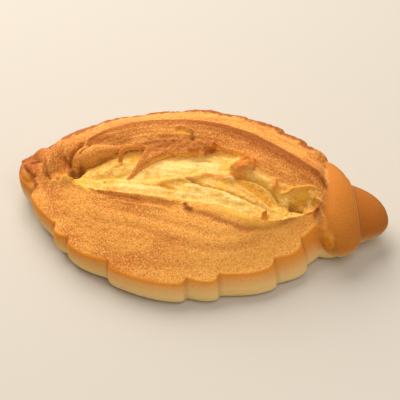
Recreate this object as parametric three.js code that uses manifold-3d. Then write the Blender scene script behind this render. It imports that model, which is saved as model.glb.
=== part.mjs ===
// A sweet roll: soft dough rolled up into a spindle, slit along its top and baked until it opened
// like a book. Two sandy cut leaves with fluted edges lie on either side of a crack full of crumb,
// the right end keeps a smooth uncut wrap and a blunt tip, and the left end curls into small rolls.
//
// Millimetres. X runs along the roll, Y from the low leaf to the high leaf, Z is up from the table.
import * as THREE from "three";
import { mergeVertices } from "three/addons/utils/BufferGeometryUtils.js";
import Module from "manifold-3d";

const wasm = await Module();
wasm.setup();

// ---------------------------------------------------------------- driving dimensions

// The middle of the roll's length and width, which becomes the origin.
const MIDDLE = { x: -2.4, y: 4.1 };

// Lines along the leaves, each from the left end to the right, through points [x, y, z].
const LINES = {
  lowRim: [
    [-100, 12, 21.5],
    [-98, 3, 21.5],
    [-90, -8, 21],
    [-67, -33, 18.5],
    [-40, -46, 16],
    [-10, -51, 14.5],
    [17, -43.5, 15],
    [43, -30, 17],
    [57, -12, 19],
    [64, 2, 20],
    [72, 16, 21],
  ],
  highRim: [
    [-100, 12, 21.5],
    [-95, 19, 21],
    [-84, 32, 24.5],
    [-66, 43, 29],
    [-40, 51.5, 32.5],
    [-10, 57, 35],
    [18, 56, 34],
    [40, 50, 31.5],
    [60, 41, 28],
    [71, 30, 24],
    [72, 16, 21],
  ],
  lowLip: [
    [-76, -4, 31],
    [-65, -11, 33],
    [-46, -14.5, 35],
    [-17, -16, 37],
    [1, -16.5, 37],
    [24, -21.5, 36],
    [37, -20, 33],
    [50, -11, 31],
    [63, -2, 30],
  ],
  highLip: [
    [-76, -3, 30],
    [-67, -1, 33],
    [-58, 2, 38],
    [-46, 8, 41.5],
    [-22, 9, 43],
    [-4, 13, 43],
    [6, 18, 43.5],
    [20, 15, 43],
    [32, 8, 41],
    [46, 3, 39],
    [57, 2, 38],
    [64, -1, 36],
  ],
  crest: [
    [-88, 7, 25],
    [-79, 10, 31],
    [-70, 13, 38],
    [-60, 17, 45],
    [-44, 24, 48.5],
    [-20, 30, 50],
    [5, 31, 50],
    [31, 24, 48],
    [52, 13, 45],
    [62, 5, 43],
    [68, 5, 32],
  ],
  crumb: [
    [-73, -6, 30.5],
    [-50, -5, 34.5],
    [-29, -4, 36],
    [-8, -1, 38.5],
    [8, 1, 38.5],
    [20, -2, 37],
    [35, -8, 33.5],
    [48, -5, 30],
    [54, -1, 28.5],
    [62, -1, 31],
  ],
};

// Where one wrap of the rolled dough tucks under the next, as X along each rim. The wrap at
// `middle` lies over its neighbours, so every other wrap steps in, away from the middle.
const LOW_WRAPS = { tucks: [-91, -73, -64, -40, 1, 17, 43, 55], middle: 4, step: 3.6 };
const HIGH_WRAPS = { tucks: [-86, -66, -42, -20, 2, 16, 37, 50, 61], middle: 4, step: 4.4 };
const NOSE_RADIUS = 5; // the round outer corner of a wrap
const STEP_TO_LENGTH = 0.3; // a short wrap's step is at most this share of its length

// Side walls, from the foot up: share of the height, and how far the wall stands out of the rim.
const LOW_WALL = [
  [0, -6.5],
  [0.12, -1],
  [0.4, 1.4],
  [0.7, 1.6],
  [0.92, 0.6],
];
const HIGH_WALL = [
  [0, -11],
  [0.08, -5],
  [0.3, 0.8],
  [0.62, 2.6],
  [0.9, 1.2],
];
const LOW_FLARE = { left: -7, right: 6.5 }; // the foot of the low wall leans in, then out
const LEFT_END_LIFT = 5; // the left end curls off the table
const LIFTED_SHARE = 0.16;

const RIM_ROUNDING = 2;
const STEEPEST = 0.9; // no face falls faster than this just inside its rim
const FACE_CROWN = 0.055; // a cut face arches up by this share of its width
const CREST_STEP = 3; // the crest stands this far over the strip behind it
const LIP_HEIGHT = 1.6;
const OVERHANG = { depth: 4.5, ends: 0.66, fade: 0.16 }; // the high lip's undercut
const CRUMB_CROWN = 0.08;

const COLUMNS = 78; // along each leaf

// The uncut wrap at the right end: a short barrel, turned a little about Z.
const BAND = {
  centre: [71.5, 10.5, 17.5],
  turn: THREE.MathUtils.degToRad(24),
  halfLength: 11,
  halfWidth: 27.5,
  halfHeight: 19.5,
  roundness: 13,
  sides: 26,
  stations: 11,
};

// The blunt tip past it.
const TIP = {
  line: [
    [72, 11, 14],
    [86, 10, 14],
    [98.6, 7, 14],
  ],
  halfWidth: 18.5,
  halfHeight: 15,
  bluntness: 1.8,
  sides: 22,
  stations: 10,
};

// Rolled ends and torn strands: a line through points, its half width and half height.
const ROLLS = [
  { line: [[-61, 18, 35], [-75, 8, 30], [-80, -3, 23.5]], halfWidth: 9.5, halfHeight: 8.5 },
  { line: [[-50, 9, 38], [-63, 3, 33.5], [-69, -5, 27]], halfWidth: 6.5, halfHeight: 5.5 },
  { line: [[-95, 20, 18], [-89, 14, 20.5], [-84, 6, 21]], halfWidth: 6, halfHeight: 5.5 },
  { line: [[-99, 13, 19], [-97, 6, 20], [-92, -2, 20.5]], halfWidth: 4, halfHeight: 4.5 },
  { line: [[-21, 10, 42], [-28, 3, 39.6], [-39, -8, 35.5]], halfWidth: 2.1, halfHeight: 1.7 },
  { line: [[-46, 9, 41], [-43, 2, 39.4], [-37, -2, 37.5]], halfWidth: 2.4, halfHeight: 2.2 },
  { line: [[12, 10, 37], [20, 12, 39], [28, 8, 37]], halfWidth: 4, halfHeight: 3.4 },
  { line: [[65, -2, 17], [69, -6, 10], [75, -8, 5]], halfWidth: 5, halfHeight: 5 },
];
const ROLL_SIDES = 10;
const ROLL_STATIONS = 9;
const ROLL_BLUNTNESS = 2.6;

const CRUST = { color: 0xdf9144, roughness: 0.75, metalness: 0 };

// ---------------------------------------------------------------- lines and wraps

const UP = new THREE.Vector3(0, 0, 1);

function smoothLine(points) {
  return new THREE.CatmullRomCurve3(points.map((point) => new THREE.Vector3(...point)));
}

const lines = Object.fromEntries(
  Object.entries(LINES).map(([name, points]) => [name, smoothLine(points)]),
);

// The share of a line's length at which it reaches x.
function shareAtX(line, x) {
  let low = 0;
  let high = 1;
  while (high - low > 1e-5) {
    const middle = (low + high) / 2;
    if (line.getPointAt(middle).x < x) low = middle;
    else high = middle;
  }
  return low;
}

// The stretches between tucks along a rim, each with its ends as shares of the rim and its length.
function wrapsOf(rim, { tucks, middle, step }) {
  const shares = [0, ...tucks.map((x) => shareAtX(rim, x)), 1];
  return shares.slice(1).map((end, i) => {
    const start = shares[i];
    const length = (end - start) * rim.getLength();
    return {
      start,
      end,
      length,
      side: Math.sign(i - middle),
      atRimEnd: i === 0 || i === shares.length - 2,
      step: Math.min(step, STEP_TO_LENGTH * length),
    };
  });
}

// How far a wrap's edge stands out at a share of the rim: it rises gently from its tucked side
// and rounds off into the next tuck on the side away from the middle of the roll.
function standOut(wrap, share) {
  const along = THREE.MathUtils.clamp((share - wrap.start) / (wrap.end - wrap.start), 0, 1);
  const toEnds = wrap.side === 0 ? Math.abs(2 * along - 1) : wrap.side > 0 ? along : 1 - along;
  const noseDistance = (1 - toEnds) * wrap.length * (wrap.side === 0 ? 0.5 : 1);
  const corner = Math.max(0, 1 - noseDistance / NOSE_RADIUS);
  const nose = wrap.atRimEnd ? 1 : Math.sqrt(1 - corner * corner);
  const rise = wrap.side === 0 ? 1 : THREE.MathUtils.smoothstep(toEnds, -0.15, 0.7);
  return wrap.step * nose * rise;
}

// Column positions along a rim: `count` steps shared between the wraps by length, so that a
// column falls on every tuck, with the steps closer together towards each tuck.
function columnShares(wraps, count) {
  const total = wraps.reduce((sum, wrap) => sum + wrap.length, 0);
  const least = 4;
  const spare = count - least * wraps.length;
  const steps = wraps.map((wrap) => least + Math.floor((spare * wrap.length) / total));
  steps[wraps.findIndex((wrap) => wrap.side === 0)] += count - steps.reduce((a, b) => a + b);
  const shares = [];
  wraps.forEach((wrap, i) => {
    for (let k = 0; k < steps[i]; k++) {
      const even = k / steps[i];
      const eased = even - Math.sin(2 * Math.PI * even) / (4 * Math.PI);
      shares.push({ share: THREE.MathUtils.lerp(wrap.start, wrap.end, eased), wrap });
    }
  });
  shares.push({ share: 1, wrap: wraps.at(-1) });
  return shares;
}

// ---------------------------------------------------------------- the opened body

// The side wall under one point of a rim, from the foot up to the rim's outer edge.
function wallPoints(rim, column, outward, slope, profile, flare) {
  const { share, wrap } = column;
  const top = rim.getPointAt(share);
  const standing = standOut(wrap, share);
  const lift = LEFT_END_LIFT * (1 - THREE.MathUtils.smoothstep(share, 0, LIFTED_SHARE));
  const edge = top.z - slope * standing - 1;
  const fullness = THREE.MathUtils.smoothstep(Math.min(share, 1 - share), -0.05, 0.2);
  const points = profile.map(([height, out]) => {
    const reach = standing + fullness * (out + flare * (1 - height));
    const point = top.clone().addScaledVector(outward, reach);
    return point.setZ(THREE.MathUtils.lerp(lift, edge, height));
  });
  points.push(top.clone().addScaledVector(outward, standing).setZ(edge));
  points.push(top.clone().addScaledVector(outward, standing - RIM_ROUNDING).setZ(edge + 1.5));
  return points;
}

function outwardAt(rim, share, turn) {
  const along = rim.getTangentAt(share).setZ(0).normalize();
  return along.applyAxisAngle(UP, turn);
}

// How steeply a cut face falls from its inner edge to the rim.
function faceSlope(inner, top) {
  return Math.min(STEEPEST, (inner.z - top.z) / Math.hypot(inner.x - top.x, inner.y - top.y));
}

// A point of the face just inside the tucked rim: the face is flat here, and the wraps' edges
// beyond it stand out in the same plane.
function faceEdge(rim, share, outward, slope) {
  const top = rim.getPointAt(share);
  const inset = 2 * RIM_ROUNDING;
  return top.clone().addScaledVector(outward, -inset).setZ(top.z + inset * slope);
}

// Points between two ends, without them, arched up in the middle by `crown` of their distance.
function arch(from, to, count, crown) {
  return Array.from({ length: count }, (_, i) => {
    const t = (i + 1) / (count + 1);
    const point = from.clone().lerp(to, t);
    return point.setZ(point.z + crown * from.distanceTo(to) * 4 * t * (1 - t));
  });
}

function footPoints(spine, wallFoot) {
  const under = spine.clone().setZ(0);
  const middle = under.clone().lerp(wallFoot, 0.6).setZ(0);
  return [under, middle];
}

// One section of the low leaf: foot, wall, rim, sandy face, torn lip, crumb.
function lowColumn(column, even) {
  const { share } = column;
  const outward = outwardAt(lines.lowRim, share, -Math.PI / 2);
  const flare = THREE.MathUtils.lerp(LOW_FLARE.left, LOW_FLARE.right, share);
  const spine = lines.crumb.getPointAt(even);
  const lip = lines.lowLip.getPointAt(even);
  const slope = faceSlope(lip, lines.lowRim.getPointAt(share));
  const wall = wallPoints(lines.lowRim, column, outward, slope, LOW_WALL, flare);
  const edge = faceEdge(lines.lowRim, share, outward, slope);
  const lipFoot = lip.clone().lerp(spine, 0.12).setZ(lip.z - LIP_HEIGHT);
  return [
    ...footPoints(spine, wall[0]),
    ...wall,
    edge,
    ...arch(edge, lip, 5, FACE_CROWN),
    lip,
    lipFoot,
    ...arch(lipFoot, spine, 5, CRUMB_CROWN),
    spine,
  ];
}

// One section of the high leaf: foot, wall, rim, outer strip, crest, inner strip, lip, crumb.
function highColumn(column, even) {
  const { share } = column;
  const { smoothstep } = THREE.MathUtils;
  const outward = outwardAt(lines.highRim, share, Math.PI / 2);
  const spine = lines.crumb.getPointAt(even);
  const crest = lines.crest.getPointAt(even);
  const slope = faceSlope(crest, lines.highRim.getPointAt(share));
  const wall = wallPoints(lines.highRim, column, outward, slope, HIGH_WALL, 0);
  const edge = faceEdge(lines.highRim, share, outward, slope);
  const lip = lines.highLip.getPointAt(even);
  const presence = smoothstep(even, 0, 0.15) * (1 - smoothstep(even, 0.9, 1));
  const back = crest.clone().lerp(wall.at(-1), 0.1).setZ(crest.z - CREST_STEP * presence);
  const hollow = presence * (1 - smoothstep(even, OVERHANG.ends, OVERHANG.ends + OVERHANG.fade));
  const inwards = crest.clone().sub(lip).setZ(0).normalize();
  const under = lip.clone().addScaledVector(inwards, 0.6).setZ(lip.z - 2.2);
  const recess = lip.clone().addScaledVector(inwards, OVERHANG.depth * hollow - 1);
  recess.setZ(THREE.MathUtils.lerp(lip.z - 3.4, lip.z - 5, hollow));
  return [
    ...footPoints(spine, wall[0]),
    ...wall,
    edge,
    ...arch(edge, back, 2, FACE_CROWN),
    back,
    crest,
    ...arch(crest, lip, 3, FACE_CROWN / 2),
    lip,
    under,
    recess,
    ...arch(recess, spine, 2, CRUMB_CROWN),
    spine,
  ];
}

// One closed skin round both leaves. Each column is a section from under the crumb line, out to
// the rim and back to the crumb line. The leaves share the columns at the roll's two ends.
function bodyGeometry() {
  const sections = [
    [lines.lowRim, LOW_WRAPS, lowColumn],
    [lines.highRim, HIGH_WRAPS, highColumn],
  ].map(([rim, wrapDimensions, section]) =>
    columnShares(wrapsOf(rim, wrapDimensions), COLUMNS).map((column, i) =>
      section(column, i / COLUMNS),
    ),
  );
  const [low, high] = sections;
  return loft([...low, ...high.slice(1, -1).reverse()], true);
}

// ---------------------------------------------------------------- closed shapes

// A skin over rows of points. `around` joins the last row to the first; each row is open.
function loft(rows, around) {
  const corners = [];
  const quad = (a, b, c, d) => corners.push(a, b, c, a, c, d);
  const last = around ? rows.length : rows.length - 1;
  for (let i = 0; i < last; i++) {
    const row = rows[i];
    const next = rows[(i + 1) % rows.length];
    for (let k = 0; k < row.length - 1; k++) quad(row[k], next[k], next[k + 1], row[k + 1]);
  }
  return new THREE.BufferGeometry().setFromPoints(corners);
}

// A closed shape along a line: oval rings with round poles, cut level where they pass below Z 0.
function ovalAlong(line, stations, sides, halfWidth, halfHeight, fullness) {
  const rows = Array.from({ length: stations + 1 }, (_, i) => {
    const t = (1 - Math.cos((Math.PI * i) / stations)) / 2;
    const centre = line.getPointAt(t);
    const sideways = UP.clone().cross(line.getTangentAt(t).setZ(0).normalize());
    return Array.from({ length: sides + 1 }, (_, k) => {
      const angle = (-2 * Math.PI * (k % sides)) / sides;
      const size = fullness(t);
      const point = centre
        .clone()
        .addScaledVector(sideways, halfWidth * size * Math.cos(angle))
        .addScaledVector(UP, halfHeight * size * Math.sin(angle));
      return point.setZ(Math.max(0, point.z));
    });
  });
  return loft(rows, false);
}

// How full a shape is along its line, 1 in the middle and 0 at a round end.
const roundBothEnds = (bluntness) => (t) =>
  Math.max(0, 1 - Math.abs(2 * t - 1) ** bluntness) ** (1 / bluntness);
const roundFarEnd = (bluntness) => (t) => {
  const growing = Math.min(1, t / 0.02);
  return growing * Math.max(0, 1 - t ** bluntness) ** (1 / bluntness);
};

function bandGeometry() {
  const { centre, turn, halfLength, halfWidth, halfHeight, roundness, sides, stations } = BAND;
  const along = new THREE.Vector3(Math.cos(turn), Math.sin(turn), 0);
  const middle = new THREE.Vector3(...centre);
  const ends = [-halfLength, halfLength].map((d) => middle.clone().addScaledVector(along, d));
  const line = new THREE.LineCurve3(...ends);
  const barrel = (t) => {
    const distance = (2 * t - 1) * halfLength;
    const closing = Math.min(1, Math.min(t, 1 - t) / 0.01);
    return closing * Math.sqrt(1 - (distance / roundness) ** 2);
  };
  return ovalAlong(line, stations, sides, halfWidth, halfHeight, barrel);
}

function tipGeometry() {
  const { line, halfWidth, halfHeight, bluntness, sides, stations } = TIP;
  const fullness = roundFarEnd(bluntness);
  return ovalAlong(smoothLine(line), stations, sides, halfWidth, halfHeight, fullness);
}

function rollGeometry({ line, halfWidth, halfHeight }) {
  const fullness = roundBothEnds(ROLL_BLUNTNESS);
  const path = smoothLine(line);
  return ovalAlong(path, ROLL_STATIONS, ROLL_SIDES, halfWidth, halfHeight, fullness);
}

// ---------------------------------------------------------------- joining

function solidOf(geometry) {
  geometry.deleteAttribute("normal");
  geometry.deleteAttribute("uv");
  const merged = mergeVertices(geometry, 1e-3);
  const corners = merged.index.array;
  const faces = [];
  for (let i = 0; i < corners.length; i += 3) {
    const [a, b, c] = corners.subarray(i, i + 3);
    if (a !== b && b !== c && c !== a) faces.push(a, b, c);
  }
  const mesh = new wasm.Mesh({
    numProp: 3,
    vertProperties: merged.attributes.position.array,
    triVerts: new Uint32Array(faces),
  });
  return new wasm.Manifold(mesh);
}

function geometryOf(solid) {
  const mesh = solid.getMesh();
  const geometry = new THREE.BufferGeometry();
  geometry.setAttribute("position", new THREE.BufferAttribute(mesh.vertProperties, 3));
  geometry.setIndex(new THREE.BufferAttribute(mesh.triVerts, 1));
  geometry.computeVertexNormals();
  return geometry;
}

function bunMesh() {
  const pieces = [bodyGeometry(), bandGeometry(), tipGeometry(), ...ROLLS.map(rollGeometry)];
  const joined = pieces.map(solidOf).reduce((bun, piece) => bun.add(piece));
  const bun = new THREE.Mesh(geometryOf(joined), new THREE.MeshStandardMaterial(CRUST));
  bun.name = "bun";
  bun.position.set(-MIDDLE.x, -MIDDLE.y, 0);
  return bun;
}

const sweetRoll = new THREE.Group();
sweetRoll.add(bunMesh());
export default sweetRoll;
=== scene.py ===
"""A sweet roll: dough rolled up into a spindle, slit along its top and baked until it opened like a book.

Shapes are worked out in millimetres on the roll's own plan: X along the roll towards its blunt tip, Y from
the low leaf to the high leaf, Z up from the table. The finished mesh is in metres, about the plan's middle.
"""
import math
from functools import partial

import bpy
import numpy as np
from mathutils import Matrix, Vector
from mathutils.kdtree import KDTree


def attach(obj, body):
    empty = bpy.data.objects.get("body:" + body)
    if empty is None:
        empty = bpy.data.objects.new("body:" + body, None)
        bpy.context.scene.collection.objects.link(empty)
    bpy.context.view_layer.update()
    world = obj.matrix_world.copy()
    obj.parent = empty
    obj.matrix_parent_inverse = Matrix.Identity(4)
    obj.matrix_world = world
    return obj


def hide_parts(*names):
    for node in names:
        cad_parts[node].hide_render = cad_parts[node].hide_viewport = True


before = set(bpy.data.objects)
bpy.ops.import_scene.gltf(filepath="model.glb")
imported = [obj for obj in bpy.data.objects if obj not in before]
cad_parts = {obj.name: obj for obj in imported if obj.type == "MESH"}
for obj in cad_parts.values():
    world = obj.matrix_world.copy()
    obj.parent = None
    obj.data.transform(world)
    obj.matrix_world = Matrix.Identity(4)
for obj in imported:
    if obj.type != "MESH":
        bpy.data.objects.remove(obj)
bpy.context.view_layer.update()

METRES = 0.001  # in a millimetre

# ---- driving dimensions

MIDDLE = (-2.4, 4.1, 0)  # of the roll's plan

# Lines along the leaves, each from the left end to the right.
LOW_RIM = [
    (-101, 12, 21.5), (-99, 3, 21.5), (-90.5, -8, 21), (-67, -33, 19), (-40, -46.5, 17.5), (-10, -51.5, 16.5),
    (17, -44.5, 17), (43, -30.5, 19), (56, -15, 21.5), (62, -5, 26), (65, 3, 26), (72, 16, 21),
]
HIGH_RIM = [
    (-101, 12, 21.5), (-96, 19.5, 21), (-84, 32, 24.5), (-66, 43, 29), (-40, 51.5, 32.5), (-10, 57, 35),
    (18, 56, 34), (40, 50, 31.5), (58, 41, 28.5), (67, 29, 25), (69, 16, 21),
]
LOW_LIP = [
    (-76, -4, 31), (-65, -11, 33), (-46, -14.5, 35), (-17, -16, 37), (1, -16.2, 37), (13, -16.2, 36.6),
    (22, -18, 36), (31, -20.6, 34.3), (38, -19.4, 32.8), (50, -11.5, 31), (63, -4, 29.5),
]
HIGH_LIP = [
    (-76, -3, 30), (-67, 1, 33.5), (-58, 5, 38), (-46, 10.5, 42.3), (-34, 11.6, 43), (-20, 10.6, 43),
    (-4, 12.6, 43), (6, 18, 43.5), (20, 15, 43), (32, 8, 41), (46, 3, 39), (57, 2, 38), (64, -1, 36),
]
CREST = [
    (-88, 7, 25), (-79, 10, 31), (-70, 13, 38), (-60, 17, 45), (-44, 24, 48.5), (-20, 30, 50),
    (5, 31, 50), (31, 24, 48), (50, 14.8, 45.5), (57.5, 10.8, 44), (63, 9, 38),
]
CRUMB_LINE = [
    (-73, -6, 30.5), (-50, -5, 34.5), (-29, -4, 36), (-8, -1, 38.5), (8, 1, 38.5), (20, -2, 37),
    (35, -8, 33.5), (48, -5, 30), (54, -1, 28.5), (62, -1, 31),
]

# Where one wrap of the dough tucks under the next, as X along each rim. The wrap at `middle` lies over
# its neighbours, so every other wrap steps in, away from the middle.
LOW_WRAPS = dict(tucks=[-91, -73, -64, -40, 1, 17, 43, 55], middle=4, step=2.9)
HIGH_WRAPS = dict(tucks=[-86, -66, -42, -20, 2, 16, 37, 50, 61], middle=4, step=4.4)
WRAP_RISE = (-0.15, 0.7)  # shares of a wrap's length between which its edge comes out
NOSE_RADIUS = 5  # the round outer corner of a wrap
STEP_TO_LENGTH = 0.3  # a short wrap's step is at most this share of its length
LEAST_STEPS = 4  # in the shortest wrap
EVEN_STEPS = 78  # along a leaf: each wrap takes some by its length
COLUMNS = 620  # fine sections along a leaf

# Side walls, from the foot up: share of the height, and how far the wall stands out of the rim.
LOW_WALL = [(0, -5), (0.12, 1), (0.4, 2.6), (0.7, 2), (0.92, 0.6)]
HIGH_WALL = [(0, -11), (0.08, -5), (0.3, 0.8), (0.62, 2.6), (0.9, 1.2)]
LOW_FLARE = (-7, 6.5)  # the foot of the low wall leans in at the left, out at the right
WALL_FILLS = (-0.05, 0.2)  # shares of the rim, from either end, between which the wall fills out
FOOT_SHARE = 0.6  # where the base has a point between the crumb line and the wall's foot
LEFT_END_LIFT = 5  # the left end curls off the table
LIFTED_SHARE = 0.16

RIM_ROUNDING = 2
RIM_DROP = 1  # the wall ends this far under the rim's line
RIM_RISE = 1.5  # the rounding climbs this far from there
STEEPEST = 0.9  # no face falls faster than this just inside its rim
FACE_CROWN = 0.055  # a cut face arches up by this share of its width
CRUMB_CROWN = 0.08

# The low leaf's lip: its height, and how far towards the crumb line its foot is.
LOW_LIP_HEIGHT = 1.6
LOW_LIP_FOOT = 0.12
# The high leaf, as shares of its length, shares of a width and millimetres. A pair is for where the lip
# doesn't overhang and where it does.
CREST_ENDS = (0.15, 0.9)
CREST_STEP = 3  # the crest stands this far over the strip behind it
CREST_BACK = 0.1  # that strip begins this far towards the rim
OVERHANG_ENDS = (0.6, 0.69)
OVERHANG_DEPTH = 4.5
UNDERSIDE_INSET = 0.6
UNDERSIDE_DROP = (0.3, 1.8)
RECESS_INSET = (-2.5, -1)
RECESS_DROP = (1.2, 3.9)
# How noise tears the two lips.
LOW_TEAR = dict(size=3.2, amount=0.5, seed=3)
HIGH_TEAR = dict(size=4, amount=0.7, seed=5)

VOXEL = 0.6  # of the mesh that joins everything


# ---- small sums


def mix(a, b, share):
    return a + (b - a) * share


def ramp(x, low, high):
    """0 up to `low`, 1 from `high` on, and smooth between them."""
    t = np.clip((x - low) / (high - low), 0, 1)
    return t * t * (3 - 2 * t)


def bell(x, middle, width):
    """1 at the middle, and about a third at `width` from it."""
    return np.exp(-(((x - middle) / width) ** 2))


def level(vectors):
    """Unit vectors along the level part of `vectors`."""
    flat = vectors * (1, 1, 0)
    return flat / np.maximum(np.linalg.norm(flat, axis=-1, keepdims=True), 1e-9)


def at_height(points, z):
    return np.stack([points[..., 0], points[..., 1], np.broadcast_to(z, points.shape[:-1])], axis=-1)


HASH_FACTORS = np.array([73856093, 19349663, 83492791])  # they scatter the noise's cells


def noise(points, size, seed):
    """Gradient noise, about -1 to 1, with features of `size` millimetres, or of three sizes along X, Y, Z."""
    grid = points / size + seed * 7.31
    cell = np.floor(grid).astype(np.int64)
    inside = grid - cell
    fade = inside**3 * (inside * (inside * 6 - 15) + 10)
    total = np.zeros(len(points))
    for corner in np.ndindex(2, 2, 2):
        key = (cell + corner) @ HASH_FACTORS + seed * 9781
        key = (key ^ (key >> 13)) * 1274126177 & 0x7FFFFFFF
        slopes = np.stack([(key >> shift & 255) / 127.5 - 1 for shift in (3, 11, 19)], axis=1)
        weight = np.where(corner, fade, 1 - fade).prod(axis=1)
        total += weight * ((inside - corner) * slopes).sum(axis=1)
    return total * 1.4


def noises(points, parts):
    """Noises added up, each given as its size, seed and amount."""
    return sum(noise(points, size, seed) * amount for size, seed, amount in parts)


class Line:
    """A smooth line through a few points, with places on it given as shares of its length."""

    def __init__(self, points, samples=3000):
        knots = np.array(points, float)
        knots = np.vstack([2 * knots[0] - knots[1], knots, 2 * knots[-1] - knots[-2]])
        spans = len(points) - 1
        place = np.linspace(0, spans, samples)
        span = np.minimum(place.astype(int), spans - 1)
        t = (place - span)[:, None]
        a, b, c, d = (knots[span + k] for k in range(4))
        ab, bc, cd = (np.linalg.norm(q - p, axis=1)[:, None] ** 0.5 for p, q in ((a, b), (b, c), (c, d)))
        leave = bc * ((b - a) / ab - (c - a) / (ab + bc) + (c - b) / bc)
        arrive = bc * ((c - b) / bc - (d - b) / (bc + cd) + (d - c) / cd)
        self.points = hermite(b, c, leave, arrive, t)
        steps = np.linalg.norm(np.diff(self.points, axis=0), axis=1)
        self.length = steps.sum()
        self.shares = np.concatenate([[0], np.cumsum(steps)]) / self.length

    def at(self, share):
        return np.stack([np.interp(share, self.shares, self.points[:, k]) for k in range(3)], axis=-1)

    def heading(self, share):
        """The level direction of the line at a share of its length."""
        ahead = self.at(np.minimum(share + 1e-3, 1))
        return level(ahead - self.at(np.maximum(share - 1e-3, 0)))

    def share_at_x(self, x):
        return np.interp(x, self.points[:, 0], self.shares)


def hermite(start, end, leave, arrive, t):
    """The cubic from `start` to `end` with the given slopes there."""
    return (
        start * (1 + 2 * t) * (1 - t) ** 2
        + leave * t * (1 - t) ** 2
        + end * t * t * (3 - 2 * t)
        - arrive * t * t * (1 - t)
    )


# ---- sections of the two leaves


class Rim:
    """A leaf's outer line with the wraps of dough along it, and the fine columns that cross the leaf."""

    def __init__(self, points, tucks, middle, step, side):
        self.line = Line(points)
        ends = np.concatenate([[0], self.line.share_at_x(np.array(tucks)), [1]])
        lengths = np.diff(ends) * self.line.length
        spare = EVEN_STEPS - LEAST_STEPS * len(lengths)
        steps = LEAST_STEPS + np.floor(spare * lengths / lengths.sum())
        steps[middle] += EVEN_STEPS - steps.sum()
        knots = np.concatenate([[0], np.cumsum(steps)]) / EVEN_STEPS
        self.even = np.linspace(0, 1, COLUMNS + 1)
        wrap = np.clip(np.searchsorted(knots, self.even, side="right") - 1, 0, len(lengths) - 1)
        t = (self.even - knots[wrap]) / (knots[wrap + 1] - knots[wrap])
        along = t - np.sin(2 * math.pi * t) / (4 * math.pi)
        self.share = mix(ends[wrap], ends[wrap + 1], along)
        self.top = self.line.at(self.share)
        heading = self.line.heading(self.share)
        self.outward = np.stack([heading[:, 1], -heading[:, 0], 0 * self.share], axis=1) * side

        # How far each wrap's edge stands out: it rises gently from its tucked side and rounds off
        # into the next tuck on the side away from the middle of the roll.
        centre = wrap == middle
        to_ends = np.where(wrap > middle, along, 1 - along)
        to_ends = np.where(centre, abs(2 * along - 1), to_ends)
        nose_distance = (1 - to_ends) * lengths[wrap] * np.where(centre, 0.5, 1)
        nose = np.sqrt(1 - np.maximum(0, 1 - nose_distance / NOSE_RADIUS) ** 2)
        nose = np.where((wrap == 0) | (wrap == len(lengths) - 1), 1, nose)
        rise = np.where(centre, 1, ramp(to_ends, *WRAP_RISE))
        self.standing = np.minimum(step, STEP_TO_LENGTH * lengths[wrap]) * nose * rise
        self.tuck_distance = np.minimum(along, 1 - along) * lengths[wrap]

    def out(self, distance, z):
        """Points at a distance out of the rim line, at height z."""
        return at_height(self.top + self.outward * np.asarray(distance)[..., None], z)


LOW = Rim(LOW_RIM, **LOW_WRAPS, side=1)
HIGH = Rim(HIGH_RIM, **HIGH_WRAPS, side=-1)
EVEN = LOW.even

# A section's points run from under the crumb line, out over the table, up the wall and back over the
# rim, the cut face and the lip to the crumb line. SHARP says how much of a corner each point is, and
# FINE how many fine steps follow it.
WALL_SHARP = [1, 0.2, 0, 0, 0, 0.3, 0.3]
LOW_SHARP = [1, 1, *WALL_SHARP, 0.3, 0, 0, 0, 0, 0, 0.8, 0.4, 0, 0, 0, 0, 0, 0]
HIGH_SHARP = [1, 1, *WALL_SHARP, 0.3, 0, 0, 0.2, 0.3, 0, 0, 0, 0.7, 0.6, 0.4, 0, 0, 0]
LOW_FINE = [4, 4, 6, 8, 8, 7, 5, 5, 5, 14, 14, 14, 14, 14, 14, 6, 5, 5, 5, 5, 5, 5]
HIGH_FINE = [4, 4, 8, 10, 10, 8, 5, 5, 5, 10, 12, 12, 6, 11, 11, 11, 11, 5, 6, 6, 6, 6]
OUTER_EDGE = 7  # the rim's outer edge, among a section's points
LOW_LIP_POINT = 15
HIGH_CREST_POINT = 13
HIGH_LIP_POINT = 17


def wall_points(rim, slope, profile, flare):
    """The side wall under each point of a rim, from the foot up, and the rounded rim on it."""
    lift = LEFT_END_LIFT * (1 - ramp(rim.share, 0, LIFTED_SHARE))
    edge = rim.top[:, 2] - slope * rim.standing - RIM_DROP
    fullness = ramp(np.minimum(rim.share, 1 - rim.share), *WALL_FILLS)
    points = []
    for height, out in profile:
        reach = rim.standing + fullness * (out + flare * (1 - height))
        points.append(rim.out(reach, mix(lift, edge, height)))
    points.append(rim.out(rim.standing, edge))
    points.append(rim.out(rim.standing - RIM_ROUNDING, edge + RIM_RISE))
    return points


def face_slope(inner, top):
    drop = inner[:, 2] - top[:, 2]
    return np.minimum(STEEPEST, drop / np.linalg.norm((inner - top)[:, :2], axis=1))


def face_edge(rim, slope):
    inset = 2 * RIM_ROUNDING
    return rim.out(np.full(len(rim.share), -inset), rim.top[:, 2] + inset * slope)


def arch(start, end, count, crown):
    """Points between two ends, without them, arched up in the middle by `crown` of their distance."""
    distance = np.linalg.norm(end - start, axis=1)
    points = []
    for t in (np.arange(count) + 1) / (count + 1):
        point = mix(start, end, t)
        points.append(at_height(point, point[:, 2] + crown * distance * 4 * t * (1 - t)))
    return points


def foot_points(spine, wall_foot):
    under = at_height(spine, 0)
    return [under, mix(under, at_height(wall_foot, 0), FOOT_SHARE)]


def ragged(line, rim, size, amount, seed):
    """A torn edge: the line's points at every column, pushed about by noise."""
    points = line.at(rim.even)
    push = np.stack([0 * rim.even, noise(points, size, seed), noise(points, size, seed + 1) * 0.6], axis=1)
    return points + push * amount


SPINE = Line(CRUMB_LINE).at(EVEN)


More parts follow.
